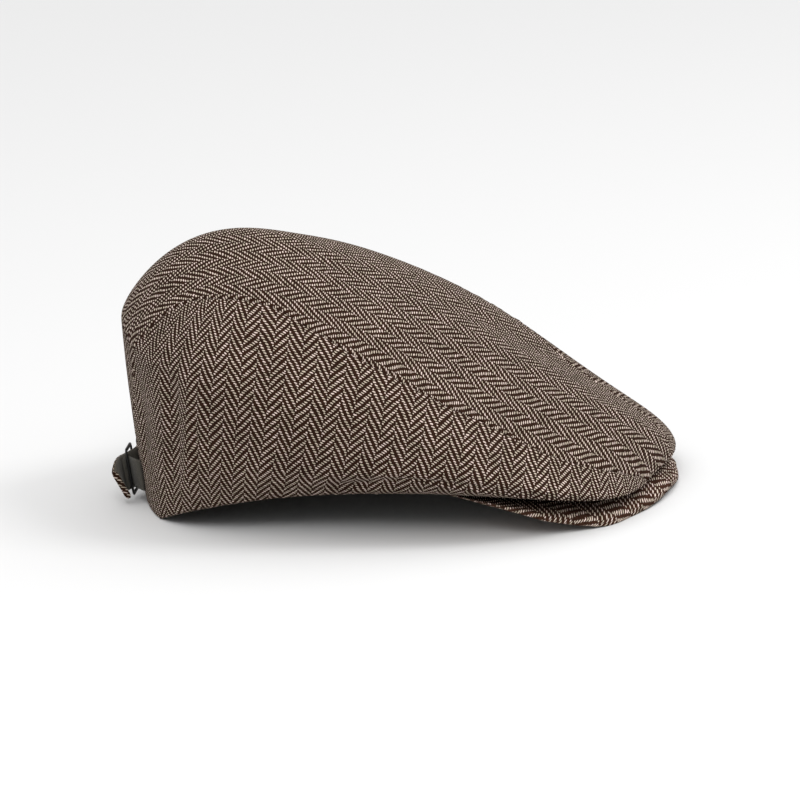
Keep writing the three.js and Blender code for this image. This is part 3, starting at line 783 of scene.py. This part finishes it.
def ring(material):
    middle, way, up, out, _ = ring_frame()
    window_height = STRAP["width"] + 2 * RING["play"]
    half_x = RING["length"] / 2 - RING["bar"] / 2
    half_y = window_height / 2 + RING["bar"] / 2
    radius = RING["corner"]
    corner_steps, rounds = 8, 12
    path = []
    for cx, cy, start in ((1, 1, 0), (-1, 1, 90), (-1, -1, 180), (1, -1, 270)):
        for k in range(corner_steps + 1):
            a = math.radians(start + 90 * k / corner_steps)
            nx, ny = math.cos(a), math.sin(a)
            path.append((cx * (half_x - radius) + radius * nx, cy * (half_y - radius) + radius * ny, nx, ny))
    verts, faces = [], []
    for x, y, nx, ny in path:
        for k in range(rounds):
            a = 2 * math.pi * k / rounds
            c, s = math.cos(a), math.sin(a)
            c = math.copysign(abs(c) ** RING_SHAPE, c) * RING["bar"] / 2
            s = math.copysign(abs(s) ** RING_SHAPE, s) * RING["thick"] / 2
            verts.append(middle + way * (x + nx * c) + up * (y + ny * c) + out * s)
    count = len(path)
    for i in range(count):
        for k in range(rounds):
            a, b = i * rounds + k, i * rounds + (k + 1) % rounds
            c, d = ((i + 1) % count) * rounds + (k + 1) % rounds, ((i + 1) % count) * rounds + k
            faces.append((a, b, c, d))
    verts = np.array(verts)
    if signed_volume(verts, np.array(faces)) < 0:
        faces = [f[::-1] for f in faces]
    return make_object("slider_ring", place(verts), faces, [material])


def loop(material):
    middle, way, up, out, bar_offset = ring_frame()
    bar = middle + way * bar_offset
    half_bar = RING["bar"] / 2 + LOOP["play"] + LOOP["thick"] / 2
    half_thick = RING["thick"] / 2 + LOOP["play"] + LOOP["thick"] / 2
    point, wall_out, _, wall_up = wall_frame(RING["along"] + bar_offset + LOOP["length"], STRAP["height"])
    start = point + wall_out * (FIT + LOOP["thick"] / 2)
    stations = [(start, wall_up, wall_out)]
    for k in range(LOOP_STEPS + 1):
        a = math.pi * k / LOOP_STEPS
        at = bar - way * (half_bar * math.sin(a)) - out * (half_thick * math.cos(a))
        stations.append((at, up, out * math.cos(a) + way * math.sin(a)))
    end = bar + way * (LOOP["length"] / 3) + out * half_thick
    stations.append((end, up, -out))
    middles, ups, outs = (np.array([s[i] for s in stations]) for i in range(3))
    return ribbon("ring_loop_cloth", middles, ups, outs, LOOP["width"], LOOP["thick"], [material],
                  GRID["loop_across"])


strap_piece = strap([tweed, lining])
ring_piece = ring(black)
loop_piece = loop(loop_cloth)

for piece, node, slot in (
    (crown_top, "top_panel", "tweed"), (side_right, "side_panel_right", "tweed"),
    (side_left, "side_panel_left", "tweed"), (peak_piece, "peak", "tweed"),
    (strap_piece, "back_strap", "tweed"), (loop_piece, "strap_anchor", "lining_cloth"),
    (ring_piece, "strap_slider", "slider_black"),
):
    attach(piece, ROOT)
    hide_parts(node)

SKY_LOW, SKY_HIGH = 0.25, 1.50
FLOOR_HALF = 4.0
FLOOR_GREY = 0.74
LIGHT_AIM = 0.06
floor_material = Nodes("floor_paper").finish((FLOOR_GREY,) * 3, 0.9, Specular_IOR_Level=0.1)
floor_corners = [(x * FLOOR_HALF, y * FLOOR_HALF, 0) for x, y in ((-1, -1), (1, -1), (1, 1), (-1, 1))]
floor = make_object("floor", floor_corners, [(0, 1, 2, 3)], [floor_material])

bpy.context.scene.view_settings.view_transform = "Standard"
world = bpy.data.worlds.new("studio")
bpy.context.scene.world = world
world.use_nodes = True
sky = world.node_tree
sky_way = sky.nodes.new("ShaderNodeTexCoord")
sky_split = sky.nodes.new("ShaderNodeSeparateXYZ")
sky.links.new(sky_way.outputs["Generated"], sky_split.inputs[0])
sky_strength = sky.nodes.new("ShaderNodeMapRange")
sky.links.new(sky_split.outputs[2], sky_strength.inputs["Value"])
sky_strength.inputs["To Min"].default_value = SKY_LOW
sky_strength.inputs["To Max"].default_value = SKY_HIGH
sky.nodes["Background"].inputs[0].default_value = (1, 1, 1, 1)
sky.links.new(sky_strength.outputs[0], sky.nodes["Background"].inputs[1])


def area_light(name, azimuth, elevation, distance, size, power):
    light = bpy.data.lights.new(name, "AREA")
    light.shape = "DISK"
    light.size = size
    light.energy = power
    obj = bpy.data.objects.new(name, light)
    a, e = math.radians(azimuth), math.radians(elevation)
    way = Vector((math.sin(a) * math.cos(e), -math.cos(a) * math.cos(e), math.sin(e)))
    obj.location = way * distance + Vector((0, 0, LIGHT_AIM))
    obj.rotation_euler = way.to_track_quat("Z", "Y").to_euler()
    bpy.context.scene.collection.objects.link(obj)


area_light("key", -72, 40, 2.0, 0.8, 8)
area_light("front", 5, 50, 2.0, 0.8, 11)

AZIMUTH, ELEVATION, ROLL = -70.696, 12.595, 4.139
FOCAL_PX, DISTANCE = 3853.758, 1.8
AIM_PX = (379.644, 365.194)
AIM_MM = (0, 3, 60)
IMAGE_PX = 800
SENSOR = 36
a, e, r = (math.radians(x) for x in (AZIMUTH, ELEVATION, ROLL))
back = Vector((math.sin(a) * math.cos(e), -math.cos(a) * math.cos(e), math.sin(e)))
right = Vector((math.cos(a), math.sin(a), 0))
above = back.cross(right)
right, above = right * math.cos(r) - above * math.sin(r), right * math.sin(r) + above * math.cos(r)
eye = Vector(place(AIM_MM)) + back * DISTANCE
centre = IMAGE_PX / 2
ahead = (-back * FOCAL_PX + right * (centre - AIM_PX[0]) - above * (centre - AIM_PX[1])).normalized()
right = ahead.cross(above).normalized()
above = right.cross(ahead)
camera_data = bpy.data.cameras.new("camera")
camera_data.sensor_width = SENSOR
camera_data.lens = FOCAL_PX * SENSOR / IMAGE_PX
camera = bpy.data.objects.new("camera", camera_data)
camera.matrix_world = Matrix((
    (right.x, above.x, -ahead.x, eye.x),
    (right.y, above.y, -ahead.y, eye.y),
    (right.z, above.z, -ahead.z, eye.z),
    (0, 0, 0, 1),
))
bpy.context.scene.collection.objects.link(camera)
bpy.context.scene.camera = camera
